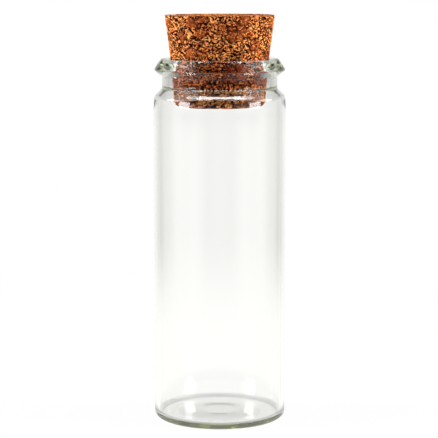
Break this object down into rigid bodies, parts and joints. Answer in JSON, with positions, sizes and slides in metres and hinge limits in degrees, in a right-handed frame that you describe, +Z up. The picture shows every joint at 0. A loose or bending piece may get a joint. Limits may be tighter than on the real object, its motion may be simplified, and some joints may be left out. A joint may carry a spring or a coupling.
{
  "type": "corked glass bottle",
  "caption": "Straight clear glass vial with a flared lip, short neck and pushed-up base, closed by a tapered agglomerated-cork stopper that pulls straight out of the mouth.",
  "frame": {"origin": "centre of the flat ring that the bottle stands on", "axes": "+Z up along the bottle's axis, from the base to the cork; the part is round, so X and Y are alike"},
  "size_m": [0.03, 0.03, 0.0923],
  "materials": {
    "clear_glass": "polished",
    "cork": "matte"
  },
  "bodies": {
    "bottle": {"glass_bottle": "clear_glass"},
    "stopper": {"cork_stopper": "cork"}
  },
  "joints": [
    {"name": "stopper_pull", "type": "slide", "parent": "bottle", "child": "stopper", "axis": [0, 0, 1], "range_m": [0, 0.035]}
  ]
}
